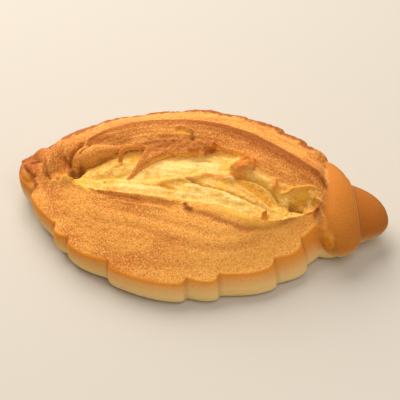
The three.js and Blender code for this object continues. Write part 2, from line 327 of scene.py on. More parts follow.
def low_sections():
    """The low leaf: foot, wall, rim, sandy face, torn lip, crumb."""
    lip = ragged(Line(LOW_LIP), LOW, **LOW_TEAR)
    slope = face_slope(lip, LOW.top)
    wall = wall_points(LOW, slope, LOW_WALL, mix(*LOW_FLARE, LOW.share))
    edge = face_edge(LOW, slope)
    lip_foot = at_height(mix(lip, SPINE, LOW_LIP_FOOT), lip[:, 2] - LOW_LIP_HEIGHT)
    points = [
        *foot_points(SPINE, wall[0]), *wall, edge, *arch(edge, lip, 5, FACE_CROWN),
        lip, lip_foot, *arch(lip_foot, SPINE, 5, CRUMB_CROWN), SPINE,
    ]
    return np.stack(points, axis=1)


def high_sections():
    """The high leaf: foot, wall, rim, outer strip, crest, inner strip, lip, undercut, crumb."""
    crest = Line(CREST).at(EVEN)
    slope = face_slope(crest, HIGH.top)
    wall = wall_points(HIGH, slope, HIGH_WALL, 0)
    edge = face_edge(HIGH, slope)
    lip = ragged(Line(HIGH_LIP), HIGH, **HIGH_TEAR)
    presence = ramp(EVEN, 0, CREST_ENDS[0]) * (1 - ramp(EVEN, CREST_ENDS[1], 1))
    back = at_height(mix(crest, wall[-1], CREST_BACK), crest[:, 2] - CREST_STEP * presence)
    hollow = presence * (1 - ramp(EVEN, *OVERHANG_ENDS))
    inwards = level(crest - lip)
    under = lip + inwards * (UNDERSIDE_INSET * hollow)[:, None]
    under = at_height(under, lip[:, 2] - mix(*UNDERSIDE_DROP, hollow))
    recess = lip + inwards * (OVERHANG_DEPTH * hollow + mix(*RECESS_INSET, hollow))[:, None]
    recess = at_height(recess, lip[:, 2] - mix(*RECESS_DROP, hollow))
    points = [
        *foot_points(SPINE, wall[0]), *wall, edge, *arch(edge, back, 2, FACE_CROWN), back, crest,
        *arch(crest, lip, 3, FACE_CROWN / 2), lip, under, recess,
        *arch(recess, SPINE, 2, CRUMB_CROWN), SPINE,
    ]
    return np.stack(points, axis=1)


def refine(sections, sharp, fine):
    """Fine points along smooth curves through each section's points."""
    chords = np.diff(sections, axis=1)
    lengths = np.linalg.norm(chords, axis=2, keepdims=True) + 1e-9
    unit = chords / lengths
    before, after = lengths[:, :-1], lengths[:, 1:]
    inner = (unit[:, :-1] * after + unit[:, 1:] * before) / (before + after)
    tangent = np.concatenate([unit[:, :1], inner, unit[:, -1:]], axis=1)
    sharp = np.array(sharp)[None, :, None]
    leave = mix(tangent[:, :-1], unit, sharp[:, :-1]) * lengths
    arrive = mix(tangent[:, 1:], unit, sharp[:, 1:]) * lengths
    parts = []
    for k, count in enumerate(fine):
        t = (np.arange(count) / count)[None, :, None]
        a, b = sections[:, k, None], sections[:, k + 1, None]
        parts.append(hermite(a, b, leave[:, k, None], arrive[:, k, None], t))
    parts.append(sections[:, -1:])
    return np.concatenate(parts, axis=1)


def distance_along(sections, fine, point):
    """Millimetres along each fine section from one of its main points, less than zero before it."""
    steps = np.linalg.norm(np.diff(sections, axis=1), axis=2)
    run = np.concatenate([np.zeros((len(sections), 1)), np.cumsum(steps, axis=1)], axis=1)
    index = sum(fine[:point])
    return run - run[:, index:index + 1]


# ---- skins
# A skin is points, quads and facts, which say what the surface is at each point: millimetres past the rim,
# past the crest and past the lip (less than zero before them), the share along the roll, 1 on the high leaf
# and 0 on the low one, and millimetres from the nearest tuck between two wraps.

FAR = 30.0  # millimetres: nowhere near a rim, crest or lip
FACTS = ("rim", "crest", "lip", "along", "high", "tuck")


def grid_quads(rows, columns, around):
    """Quads between neighbouring rows of points; `around` joins the last row to the first."""
    first = np.arange(rows if around else rows - 1)[:, None] * columns + np.arange(columns - 1)
    second = (first + columns) % (rows * columns)
    return np.stack([first, second, second + 1, first + 1], axis=-1).reshape(-1, 4)


def body_skin():
    """The two leaves as one closed skin."""
    low = refine(low_sections(), LOW_SHARP, LOW_FINE)
    high = refine(high_sections(), HIGH_SHARP, HIGH_FINE)

    def past(low_point, high_point):
        return distance_along(low, LOW_FINE, low_point), distance_along(high, HIGH_FINE, high_point)

    def columns(low_values, high_values):
        return low_values[:, None] + 0 * low[..., 0], high_values[:, None] + 0 * high[..., 0]

    facts = {
        "rim": past(OUTER_EDGE, OUTER_EDGE),
        "lip": past(LOW_LIP_POINT, HIGH_LIP_POINT),
        "crest": (np.full(low.shape[:2], -FAR), distance_along(high, HIGH_FINE, HIGH_CREST_POINT)),
        "along": columns(EVEN, EVEN),
        "high": (np.zeros(low.shape[:2]), np.ones(high.shape[:2])),
        "tuck": columns(LOW.tuck_distance, HIGH.tuck_distance),
    }
    # The leaves share their first and last rows, and the high one runs back.
    both = np.concatenate([low, high[-2:0:-1]])
    joined = {
        name: np.clip(np.concatenate([a, b[-2:0:-1]]), -FAR, FAR).ravel() for name, (a, b) in facts.items()
    }
    return both.reshape(-1, 3), grid_quads(*both.shape[:2], True), joined


def oval_skin(points, half_width, half_height, fullness, facts, stations=90, sides=96):
    """A closed shape along a line: oval rings with round poles, cut level at the table."""
    line = Line(points)
    t = (1 - np.cos(math.pi * np.arange(stations + 1) / stations)) / 2
    heading = line.heading(t)
    sideways = np.stack([-heading[:, 1], heading[:, 0], 0 * t], axis=1)
    angle = -2 * math.pi * (np.arange(sides + 1) % sides) / sides
    size = fullness(t)[:, None, None]
    ring = line.at(t)[:, None] + sideways[:, None] * np.cos(angle)[None, :, None] * half_width * size
    ring = ring + np.sin(angle)[None, :, None] * half_height * size * (0, 0, 1)
    ring[..., 2] = np.maximum(ring[..., 2], 0)
    count = ring.shape[0] * ring.shape[1]
    known = dict(rim=-FAR, crest=-FAR, lip=-FAR, along=0.5, high=0, tuck=FAR)
    known.update(facts)
    values = {name: np.full(count, float(value)) for name, value in known.items()}
    return ring.reshape(-1, 3), grid_quads(*ring.shape[:2], False), values


def round_both_ends(bluntness):
    return lambda t: np.maximum(0, 1 - abs(2 * t - 1) ** bluntness) ** (1 / bluntness)


def round_far_end(bluntness):
    return lambda t: np.minimum(1, t / 0.02) * np.maximum(0, 1 - t**bluntness) ** (1 / bluntness)


BAND_CENTRE = np.array([69.5, 8, 17.3])
BAND_TURN = math.radians(15)
BAND_HALF_LENGTH = 11
BAND_HALF_WIDTH = 26
BAND_HALF_HEIGHT = 19.5
BAND_ROUNDNESS = (12.4, 16.5)  # its left end closes more than its right end
BAND_LEAN = 0.1  # the band's top leans to the left
BAND_AHEAD = np.array([math.cos(BAND_TURN), math.sin(BAND_TURN), 0])


def band_skin():
    """The uncut wrap at the right end: a short barrel."""
    reach = BAND_AHEAD * BAND_HALF_LENGTH

    def barrel(t):
        distance = (2 * t - 1) * BAND_HALF_LENGTH
        closing = np.minimum(1, np.minimum(t, 1 - t) / 0.01)
        return closing * np.sqrt(1 - (distance / np.where(distance < 0, *BAND_ROUNDNESS)) ** 2)

    ends = [BAND_CENTRE - reach, BAND_CENTRE + reach]
    points, quads, facts = oval_skin(ends, BAND_HALF_WIDTH, BAND_HALF_HEIGHT, barrel, {}, 120, 200)
    points[:, 0] -= BAND_LEAN * (points[:, 2] - BAND_CENTRE[2])
    return points, quads, facts


TIP_LINE = [(72, 11, 14), (86, 10, 14), (98.6, 7, 14)]
TIP_HALF_WIDTH = 18.5
TIP_HALF_HEIGHT = 15
TIP_BLUNTNESS = 1.8


def tip_skin():
    outline = round_far_end(TIP_BLUNTNESS)
    return oval_skin(TIP_LINE, TIP_HALF_WIDTH, TIP_HALF_HEIGHT, outline, {}, sides=160)


# What the surface of a roll is, as facts.
SANDY = dict(rim=FAR, high=1)
SMOOTH = dict(rim=-FAR, high=1)
TORN = dict(rim=FAR, lip=FAR, high=1)
BLUNT = round_both_ends(2.6)


def swelling(*sizes):
    """A blunt outline whose size changes evenly along the line."""
    return lambda t: BLUNT(t) * np.interp(t, np.linspace(0, 1, len(sizes)), sizes)


# Rolled ends, torn strands and lumps by name: a line, half width, half height, outline and surface.
ROLLS = {
    # the left end: a curled lump, a fold of the high lip beside it, dough behind the lump, and a cap
    "lump": (
        [(-70, 16.5, 34.5), (-76.5, 10, 33.6), (-79.5, 4, 30), (-76, -1, 25.5)],
        8.4, 7.4, swelling(0.85, 0.95, 1, 1, 1), SANDY),
    "fold": (
        [(-44, 11.2, 42), (-54.1, 9.1, 39.5), (-62.5, 7.4, 36.2), (-69, 5.6, 33), (-72.5, 2.4, 28.8)],
        5.8, 5.8, swelling(0.3, 0.55, 0.95, 1.1, 1.1), SANDY),
    "behind lump": ([(-78, 14, 34), (-69, 16.5, 36), (-58, 18.5, 40.5)], 6, 5, BLUNT, SANDY),
    "behind cap": ([(-98, 19, 19), (-91, 16, 22), (-86, 8, 22)], 6, 6, BLUNT, SANDY),
    "cap": ([(-100, 13, 19), (-98, 6, 20), (-92.5, -2, 20.5)], 4, 4.5, BLUNT, SANDY),
    # torn from the high lip: two strands, a web between them, and a loop
    "long strand": (
        [(-4, 17.5, 41), (-14, 15.2, 41.3), (-21.5, 11.6, 41.6), (-28, 7.2, 40.6), (-33.4, 1.6, 38.6),
         (-38.9, -6.2, 35.3)],
        1.8, 1.9, swelling(0.6, 1, 1.25, 1.15, 0.85, 0.5), SANDY),
    "short strand": (
        [(-31.5, 12.6, 42.2), (-31.9, 8, 41.4), (-33, 4, 40.1), (-34.8, 0.2, 38.3), (-37.4, -4, 36.2)],
        1.7, 1.6, swelling(1, 1.1, 1, 0.8, 0.6), SANDY),
    "web": ([(-26.5, 13, 42.2), (-29.2, 8.4, 41.2), (-33, 3, 39.6)], 2.2, 1.4, BLUNT, SANDY),
    "loop": (
        [(-33, 12.2, 42.8), (-39.5, 11.4, 42.8), (-43.6, 10, 42.2), (-45.2, 7.5, 41), (-44.9, 5, 39.6),
         (-43, 2.6, 37.2)],
        1.1, 1.2, swelling(1, 1, 1.1, 1.2, 1, 0.6), SMOOTH),
    # orange lumps where the high lip's edge ends
    "orange lump": ([(14, 5.6, 40.3), (17.5, 8.4, 41.3), (22, 10.2, 42), (26.5, 11.8, 41.8)],
                    3.7, 3.3, BLUNT, TORN),
    "knob on it": ([(18.5, 8.4, 41.6), (22, 8.8, 42.4), (26, 9.6, 42.2)], 3.4, 3.2, BLUNT, TORN),
    # by the band
    "low leaf's torn end": (
        [(61.4, -3.4, 29), (64.2, -6.2, 28), (66.4, -9.8, 26.2), (67.2, -12.4, 22.3), (66.8, -12.6, 18)],
        1.2, 1.6, BLUNT, SANDY),
    "skin over the crack's end": ([(62.6, 7, 33), (61, 1.5, 31), (61.6, -3, 26)], 3.2, 4, BLUNT, TORN),
    "dough under the gap": ([(58, -5, 6), (64, -6, 5.5), (71, -6, 5.5), (76, -4, 6)], 6, 5.5, BLUNT, SMOOTH),
    "shoulder": ([(54, 38, 20), (62, 32.5, 23), (69, 25, 24), (75, 18, 23)], 6, 6, BLUNT, SMOOTH),
}
PIECES = ["body", "band", "tip", *ROLLS]


def all_skins():
    return [body_skin(), band_skin(), tip_skin(), *(oval_skin(*roll) for roll in ROLLS.values())]


# ---- one mesh


def new_mesh(name, points, quads):
    mesh = bpy.data.meshes.new(name)
    mesh.vertices.add(len(points))
    mesh.vertices.foreach_set("co", np.asarray(points, np.float32).ravel())
    mesh.loops.add(quads.size)
    mesh.loops.foreach_set("vertex_index", quads.astype(np.int32).ravel())
    mesh.polygons.add(len(quads))
    mesh.polygons.foreach_set("loop_start", np.arange(0, quads.size, 4, dtype=np.int32))
    mesh.update(calc_edges=True)
    return mesh


def vectors(items, name):
    """The named vector of each item, as an array."""
    flat = np.empty(len(items) * 3, np.float32)
    items.foreach_get(name, flat)
    return flat.reshape(-1, 3).astype(float)


def added(name, data):
    """A new object in the scene."""
    thing = bpy.data.objects.new(name, data)
    bpy.context.scene.collection.objects.link(thing)
    return thing


def remeshed(points, quads):
    """One even skin round everything, by filling it with voxels."""
    source = added("source", new_mesh("source", points, quads))
    modifier = source.modifiers.new("voxels", "REMESH")
    modifier.mode = "VOXEL"
    modifier.voxel_size = VOXEL
    evaluated = source.evaluated_get(bpy.context.evaluated_depsgraph_get())
    mesh = bpy.data.meshes.new_from_object(evaluated)
    bpy.data.objects.remove(source)
    return mesh


def nearest(points, wanted):
    """The index of the point nearest to each wanted place."""
    tree = KDTree(len(points))
    for i, point in enumerate(points):
        tree.insert(point, i)
    tree.balance()
    return np.array([tree.find(place)[1] for place in wanted])


class Skin:
    """The whole roll's mesh with its facts, and smoothing over its edges."""

    def __init__(self):
        skins = all_skins()
        starts = np.cumsum([0] + [len(points) for points, _, _ in skins])
        points = np.concatenate([points for points, _, _ in skins])
        quads = np.concatenate([quads + start for (_, quads, _), start in zip(skins, starts)])
        self.mesh = remeshed(points, quads)
        self.co = vectors(self.mesh.vertices, "co")
        edges = np.empty(len(self.mesh.edges) * 2, np.int32)
        self.mesh.edges.foreach_get("vertices", edges)
        self.edges = edges.reshape(-1, 2)
        self.degree = np.bincount(edges, minlength=len(self.co))
        index = nearest(points, self.co)
        self.facts = {
            name: self.smoothed(np.concatenate([facts[name] for _, _, facts in skins])[index], 2)
            for name in FACTS
        }
        pieces = [np.full(len(points), number) for number, (points, _, _) in enumerate(skins)]
        self.piece = np.concatenate(pieces)[index]

    def smoothed(self, values, rounds):
        a, b = self.edges[:, 0], self.edges[:, 1]
        for _ in range(rounds):
            total = np.bincount(a, values[b], len(values)) + np.bincount(b, values[a], len(values))
            values = 0.5 * values + 0.5 * total / self.degree
        return values

    def smooth_shape(self, rounds, where):
        for _ in range(rounds):
            even = np.stack([self.smoothed(self.co[:, k], 1) for k in range(3)], axis=1)
            self.co = self.co + (even - self.co) * where[:, None]

    def store(self):
        self.mesh.vertices.foreach_set("co", self.co.astype(np.float32).ravel())
        self.mesh.update()

    def push(self, amount):
        """Moves each point along its normal."""
        self.store()
        self.co = self.co + vectors(self.mesh.vertex_normals, "vector") * amount[:, None]

    def near(self, rounds, *names):
        """1 on the named pieces and 0 off them, blurred over some rounds."""
        numbers = [PIECES.index(name) for name in names]
        return self.smoothed(np.isin(self.piece, numbers).astype(float), rounds)


# ---- relief and tones
# A stroke is a ridge (or, with less than 0 lift, a groove) along a path in plan, on the crumb, on the sandy
# faces or on anything. It wanders a little off its path, fades at its ends unless it is short, and adds to
# the named tones. Of these, rough adds small lumps, and smooth gives a face the look of the wall.
# Where noted, dark and gold paint shade, and pale paints light.


def stroke(zone, path, width, lift, **tones):
    return zone, path, width, lift, tones


on_crumb, on_face, on_any = (partial(stroke, zone) for zone in ("crumb", "face", "any"))

STROKES = [
    # the crumb: a ridge, the fine crack before it, the deep groove behind it with its high far side
    on_crumb([(-24, -8.5), (-16, -5.8), (-8.6, -3.6), (-3.5, -1.2), (2.4, 0.6), (9.3, 0.6), (13.3, 0),
              (18, -2)], 1.7, 2.2, toast=0.35),
    on_crumb([(-1, 0.4), (5, 1.6), (12, 0.8)], 1.5, 0, toast=0.7),
    # a second ridge, its crest painted paler as a painted highlight
    on_crumb([(12, 0.8), (17.9, -0.8), (22.8, -3.4), (27, -5.6), (31.4, -8.1), (36.9, -11.4), (39, -13)],
             0.9, 2.4, pale=0.4),
    # the slope down into the deep groove, sunk and painted gold as painted shade from the high side
    on_crumb([(16, 2), (20.5, 0.6), (25, -1.4), (29.5, -3.4), (34, -6), (39, -9.2)], 2.4, -3, gold=0.6),
    on_crumb([(-31, -7.6), (-26, -8.2), (-20, -9), (-15, -9.6), (-10, -10.4)], 0.8, -0.6, toast=0.5,
             gold=0.5),
    # the fine crack, sunk and painted dark as painted shade in it
    on_crumb([(-14, -3.8), (-7, -3.4), (-0.9, -4.4), (3.2, -5.5), (8.4, -5.7), (11.9, -6.4), (16.5, -7.4),
              (21.8, -8.6), (26.4, -9.6), (31.1, -10.8), (35, -11.8)], 0.6, -1.8, dark=0.9, rough=0.4),
    on_crumb([(-8, -7), (4, -8.2), (14, -10), (24, -12.6), (31, -14.6)], 2.2, 1.1, pale=0.3, rough=0.35),
    # along the deep groove's far edge: gold and dark paint as painted shadow under the high side's
    # overhanging edge
    on_crumb([(16.3, 4.4), (21.1, 3.8), (25.5, 3), (29.4, 2), (32.6, 0.8), (37.8, -2.4), (42.1, -5.2),
              (44.9, -8.4)], 0.8, -1, gold=0.3),
    on_crumb([(15, 4), (21.1, 3.2), (25.5, 2.4), (29.4, 1.3), (32.6, 0.2), (37.8, -3), (43, -6.4)], 0.6,
             -0.6, dark=0.8),
    # the high side's slope behind the groove, painted paler as painted light on a slope that faces away from
    # the key light
    on_crumb([(19, 6.6), (25.6, 5.8), (31, 4.2), (36.4, 1.6), (40.6, -1.2)], 1.4, 1.2, pale=0.3),
    on_crumb([(-40, -3), (-28, 1), (-14, 6), (0, 8), (10, 6)], 5, 0, pale=0.6),
    on_crumb([(-46, -10.5), (-35, -11), (-14, -12)], 2.8, 0.7, pale=0.4),
    on_crumb([(-14, -12), (0, -12.4), (12, -12.8), (28, -15.4)], 2.6, 0.6, pale=0.3),
    on_crumb([(-60, -5), (-50, -1), (-40, 4)], 2, 0.9),
    on_crumb([(-56, -6.5), (-46, -4.5), (-36, -1)], 1.2, -0.8, gold=0.5),
    # the crumb seen through the loop's window, painted gold as painted shade under the lip
    on_crumb([(-40.6, 8.2), (-36.5, 7.4)], 2, 0, gold=0.7),
    on_crumb([(-49, 0), (-45.2, 1), (-41.5, 2.4)], 0.5, -0.5, toast=0.7),
    on_crumb([(-8, 9.6), (-2, 11), (4, 11)], 0.8, -0.9, toast=0.5, dark=0.1),
    # a pit, sunk and painted dark and gold as painted shade in the hollow
    on_crumb([(46.5, -6), (50.5, -5), (54, -5.4)], 1.5, -3.4, dark=0.9, gold=0.5),
    on_crumb([(50, -2), (52.4, -0.5), (54, 1)], 2, -1.6, gold=0.7),
    on_crumb([(56, 1.6), (56.6, -1), (57.4, -4)], 0.8, 1.4, pale=0.3),
    on_crumb([(59, 1.4), (59.4, -1.4), (60, -3.6)], 0.8, 1, gold=0.7, toast=0.3),
    on_any([(40.8, -2.9), (44.8, -1.4), (49.4, 1.4), (54.7, 2.6), (60, 2.6)], 0.8, 1.4, gold=0.8,
           toast=0.2),
    on_any([(37.6, 2.6), (38.6, -0.6)], 2, 2.2, toast=0.8, rough=0.6),
    on_any([(61.4, 8.6), (62.8, 7.2)], 1.4, 1.4, toast=1, dark=0.5),
    # a hole under the fold's end, sunk and painted dark as painted shadow
    on_any([(-69.4, -3.2), (-67.2, -4), (-65.2, -1.6)], 1.5, -3, dark=1.3),
    # the orange lumps and the dark torn crust on the high lip
    on_any([(13.6, 5), (17.5, 7.6), (22, 9.6), (27, 11.4)], 3.4, 0.6, toast=0.7, rough=1),
    on_any([(20, 11.4), (25, 12.6)], 1.8, 0.8, toast=0.6, dark=0.2, rough=1),
    on_any([(19.5, 6.6), (24.5, 7.4)], 2.2, 0.3, toast=0.7, rough=1),
    on_any([(-1.5, 14.8), (1, 16.6), (4, 18.8)], 1.6, 1.6, toast=1, dark=0.45, rough=1),
    on_any([(-10, 13.8), (-4, 13.4)], 1.2, 1, toast=1, rough=0.6),
    on_face([(-32, 14), (-18, 15.6), (-6, 17), (8, 19)], 3, 0.2, toast=0.5, rough=0.8),
    on_face([(-26, 18.6), (-14, 19.4), (-4, 20.4)], 1.4, -0.5, toast=0.25, rough=0.7),
    on_face([(-64, 14), (-52, 14.6), (-40, 16)], 2.4, 0.2, toast=0.45),
    # a slit in the crest with its near edge and dark end
    on_face([(-18.6, 23.4), (-14.5, 24), (-10.5, 23.2)], 0.9, -1.5, gold=1),
    on_face([(-19, 25), (-14.5, 25.7), (-10, 24.8)], 0.7, 0.7, toast=0.4),
    on_face([(-9.8, 22.8), (-8.6, 20.4)], 0.9, -1.2, dark=0.9),
    # the low leaf's torn lip, its dark knob, the spike and the dark horn
    on_face([(-60, -12), (-53.6, -13), (-38.5, -15.4), (-23.7, -17.4), (-10.7, -18.2), (-6, -18.6)], 1, 0.9,
            toast=0.6),
    on_face([(-58, -15), (-48, -16.4), (-38, -18.2), (-24, -19.6), (-10, -20.6)], 1.3, -0.6, toast=0.5),
    on_face([(-54, -14.6), (-42, -16.6), (-28, -18.4)], 0.45, -0.6, dark=0.35, toast=0.4),
    on_face([(-48, -17.4), (-36, -19.2), (-24, -20.6)], 0.45, -0.5, dark=0.2, toast=0.4),
    on_face([(-54, -17.6), (-42, -19.4), (-30, -21.4), (-14, -22.6)], 0.8, 0.5, toast=0.3),
    on_any([(-5.4, -17.6), (-4.6, -19.6), (-1.6, -21.2)], 1.1, 1.2, toast=1, dark=0.7),
    on_face([(-3, -21.4), (4.5, -21.8), (11, -22.8), (17.9, -24), (24.2, -24.8), (31.6, -23.6),
             (38.9, -20.5), (46, -15.1), (52.8, -8)], 1.6, -0.7, toast=0.75, dark=0.1),
    on_any([(10, -18.6), (17.9, -19.4), (26, -21.2), (34, -21.6), (44, -16.5)], 1.4, 0.6, gold=0.8),
    on_any([(29.6, -20), (34.5, -18.6)], 1.2, 1.2, toast=1),
    on_any([(34, -18), (36.6, -15.8)], 0.65, 5, toast=1.4),
    on_any([(60.8, -5.6), (62.4, -4.2)], 1, 3.4, toast=1, dark=0.4),
    # broad layers across the low leaf's face
    on_face([(-56, -26), (-45.8, -29.6), (-26.3, -32.1), (-9.9, -35.8), (5.8, -36.9), (20.6, -33.9),
             (32.7, -28.6), (42, -22)], 1.7, -0.5, toast=0.3),
    on_face([(-48, -22.5), (-30, -25.5), (-10, -28.5), (12, -29.8), (30, -26.5)], 1.6, -0.4, toast=0.22),
    # torn points at the crack's left end, the crease between its rolls, the crack in the toasted cap
    # two torn points, painted paler as painted light on their fronts, which face away from the key light
    on_any([(-80, -6), (-78.4, -6.6)], 1, 1.8, gold=0.9, pale=0.8),
    on_any([(-72.4, -7.6), (-69, -8.4)], 1.4, 3.4, gold=1, pale=0.8),
    # the hole under the fold's end again, wider, painted dark as painted shadow
    on_any([(-70, -1.4), (-67.5, -1.8), (-65.4, -0.8)], 1.9, -2, dark=1.4),
    # a crease left of the lump, toasted, and painted dark as painted shade in it
    on_any([(-86.8, 5), (-85, 0), (-82.4, -3.4), (-79, -6), (-75, -6.4)], 0.7, -1.2, dark=0.25, toast=0.5),
    # under the fold's lower edge: a groove, toasted, and painted dark as painted shadow
    on_any([(-47.5, 8.4), (-51.5, 6), (-55.7, 3.6), (-59.6, 1.6), (-63, 0.4), (-66.6, -0.8)], 0.9, -0.8,
           dark=0.5, toast=0.5),
    on_any([(-69.5, -7), (-64.4, -10.1), (-60.5, -13.4), (-56, -15.5)], 0.9, 0.8, gold=0.9),
    # creases right of the lump, toasted, and painted dark as painted shade in them
    on_any([(-67, 13.4), (-70, 9.4), (-71.4, 5), (-71.8, 1)], 0.9, -1.8, dark=0.5, toast=0.7),
    on_any([(-62.6, 11.8), (-63.5, 10.4), (-66, 7.3), (-66.8, 4.5)], 0.7, -1.5, dark=0.4, toast=0.5),
    on_any([(-101, 4), (-98, 0), (-95, -5), (-92.5, -10)], 3.4, 0, smooth=1.3, toast=0.2),
    on_any([(-98.7, 6.4), (-96, 3), (-93, 0), (-90.5, -4), (-89, -8.4)], 1.2, 0.7, toast=1, dark=0.45),
    on_any([(-99.6, 7.2), (-96.6, 2.6), (-94, 1.2), (-90.9, -0.3)], 0.7, -1.4, dark=1),
    on_any([(-97, 10), (-91, 9)], 0.6, -1, dark=0.5, toast=0.4),
    on_any([(-50.2, -8.4), (-49.8, -8.4)], 0.5, 0, dark=1),
]

# Fine grooves along the layers in the low leaf's wall: a path in X and Z, lift and gold.
WALL_GROOVES = [
    ([(20, 5.2), (27, 6.2), (35, 5.2)], -0.5, 0.9),
    ([(24, 3.4), (32, 3.8)], -0.4, 0.8),
    ([(35.5, 4.4), (42, 7)], -0.4, 0.8),
]
WALL_GROOVE_WIDTH = 0.4
WANDER = dict(size=4, amount=0.6, seeds=(21, 22))  # how strokes leave their paths


def wandered(place, size, amount, seeds):
    return place[:, :2] + np.stack([noise(place, size, seed) for seed in seeds], axis=1) * amount


def brush(place, path, width):
    """How strongly a stroke marks each point: 1 on its path, 0 far from it, and less at a long one's ends."""
    spots = Line([(x, y, 0) for x, y in path], 400).at(np.linspace(0, 1, 90))[:, :2]
    reach = 3 * width + 1
    inside = ((place > spots.min(0) - reach) & (place < spots.max(0) + reach)).all(axis=1)
    squared = ((place[inside, None] - spots[None]) ** 2).sum(axis=2)
    share = squared.argmin(axis=1) / (len(spots) - 1)
    short = np.linalg.norm(spots[-1] - spots[0]) < 4 * width
    fade = 1 if short else ramp(share, -0.05, 0.12) * (1 - ramp(share, 0.88, 1.05))
    strength = np.zeros(len(place))
    strength[inside] = np.exp(-squared.min(axis=1) / width**2) * fade
    return strength


# Rounds of smoothing: everywhere, where the band meets the leaves, and where the lump does.
ROUNDS, BAND_ROUNDS, LUMP_ROUNDS = 2, 30, 14

# Noise in millimetres: its size, or its sizes along X, Y and Z, and its seed; in lists, its height too.
COARSE, MEDIUM = (5, 11), (2.4, 12)
LUMP_STREAKS = ((1.2, 7, 7), 42)
GAP_FIBRES = ((1.1, 1.6, 6), 43)
ROUGH_LUMPS = [(2.8, 31, 1.4), (1.4, 32, 0.6)]
SANDY_GRAIN = [(1.5, 1, 0.14), (0.9, 2, 0.1)]
CRUMB_FIBRES = [((7, 2.4, 3), 4, 0.45), ((1.6, 1, 1.2), 5, 0.26)]
FACE_SWELLS = [(14, 6, 0.4)]
LAYER_WIDTH, LAYER_LENGTH, LAYER_SEED = 1.7, 22, 41
ROLL_LENGTH = 200  # nearly, to turn shares along the roll into millimetres

# Where the relief and the tones change: from one X, Y or Z to another.
ABOVE_TABLE = (0.3, 1.2)
STROKES_Z = (16, 24)
BAND_JOINT_Z = (18, 26)
LUMP_JOINT_Y = (8, 12)
SOFT_LIP_X = (22, 32)  # right of the orange lumps the high leaf's lip isn't sharp
GAP_LENGTH = (5.5, 7.5)  # from the band's left end
GAP_Z, GAP_Y = (22, 27), (4, 8)
CREASES_Z = (1, 4)
CREST_END_X = (58, 62)
STRIP_TOAST_END_X = (46, 56)
RIM_TOAST_END_X = (50, 58)
RIM_TOAST = (9, 14)  # past the rim
CAP_MINUS_X, CAP_Y = (84, 95), (-6, 4)
# the low leaf's face is painted paler from one X to the other, as painted light
PAINTED_LIGHT_FACE_X = (-35, 25)
PALE_WALL_HEIGHT = 18


def border(share, full):
    """0 on a piece and off it, 1 where it meets the rest."""
    return ramp(share * (1 - share), 0, full)


def draw_strokes(place, zones, tones):
    """Adds the strokes to the tones, and returns how far they lift each point."""
    lifted = np.zeros(len(place))
    wandering = wandered(place, **WANDER)
    for zone, path, width, lift, amounts in STROKES:
        strength = brush(wandering, path, width) * zones[zone]
        lifted += strength * lift
        for name, amount in amounts.items():
            tones[name] += strength * amount
    return lifted


